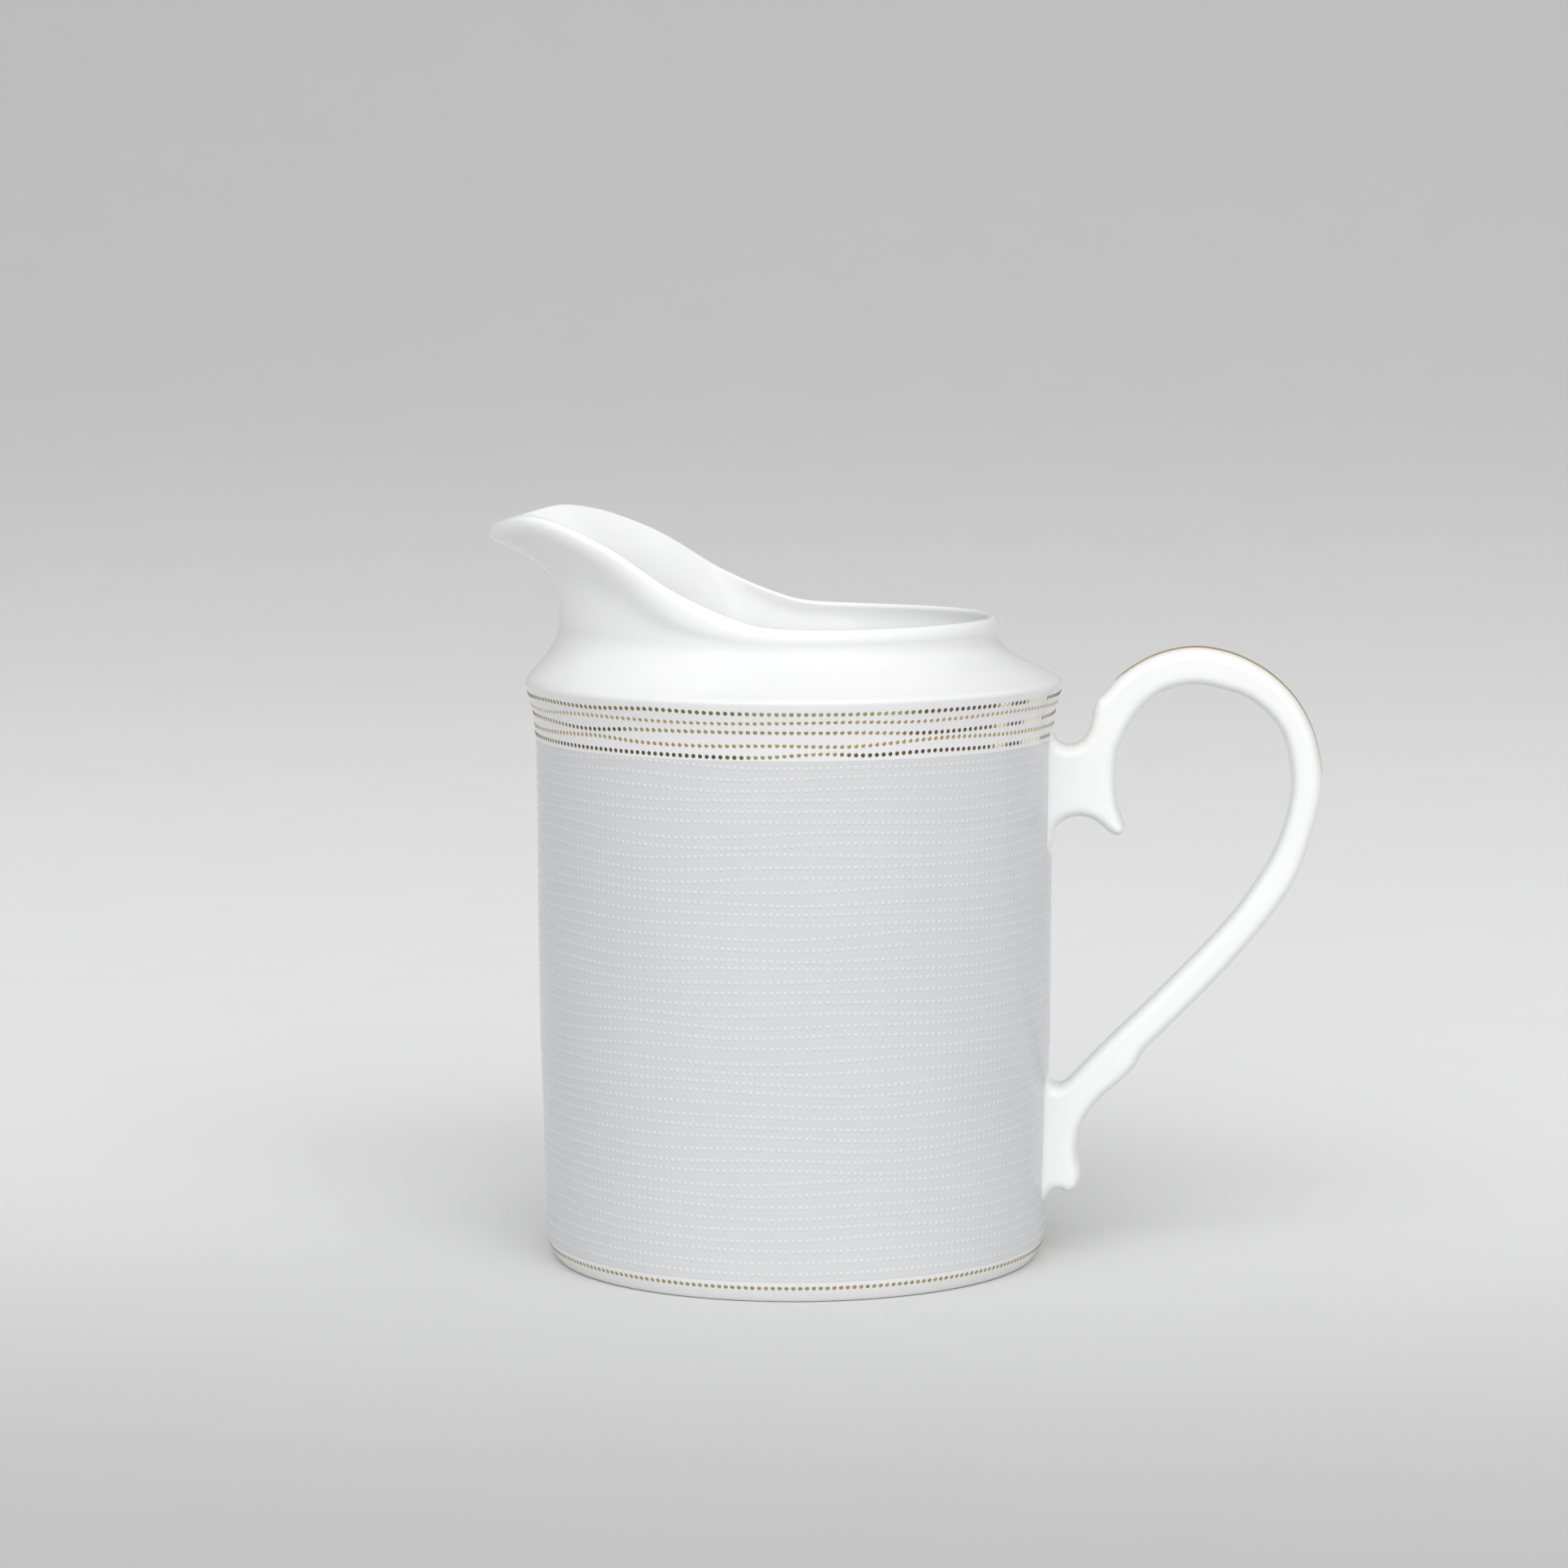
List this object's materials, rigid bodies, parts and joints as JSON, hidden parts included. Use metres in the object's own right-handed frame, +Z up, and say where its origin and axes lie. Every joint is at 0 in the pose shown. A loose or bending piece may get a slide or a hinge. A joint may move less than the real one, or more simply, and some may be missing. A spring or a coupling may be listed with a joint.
{
  "type": "cream jug",
  "caption": "Straight-sided porcelain cream jug with a rising pouring lip, an applied loop handle and printed bands of small grey, white and gold dots.",
  "frame": {"origin": "centre of the object's box, on the plane that the foot ring stands on", "axes": "+Z up along the body's axis, +X from the spout towards the handle, +Y across the jug"},
  "size_m": [0.1148, 0.0746, 0.1034],
  "materials": {
    "white_porcelain": "clear glossy glaze over cool white porcelain",
    "grey_print": "pale cool grey printed ground with rows of white dots under a glossy glaze",
    "bright_gold": "burnished gold dots, some rows mirror bright and some satin",
    "satin_gold": "satin gold print"
  },
  "bodies": {
    "root": {"jug_body": "white_porcelain", "handle": "white_porcelain", "upper_handle_slip": "white_porcelain", "lower_handle_slip": "white_porcelain", "grey_dot_transfer": "grey_print", "upper_gold_transfer": "bright_gold", "foot_gold_transfer": "satin_gold", "handle_gold_line": "satin_gold"}
  },
  "joints": []
}
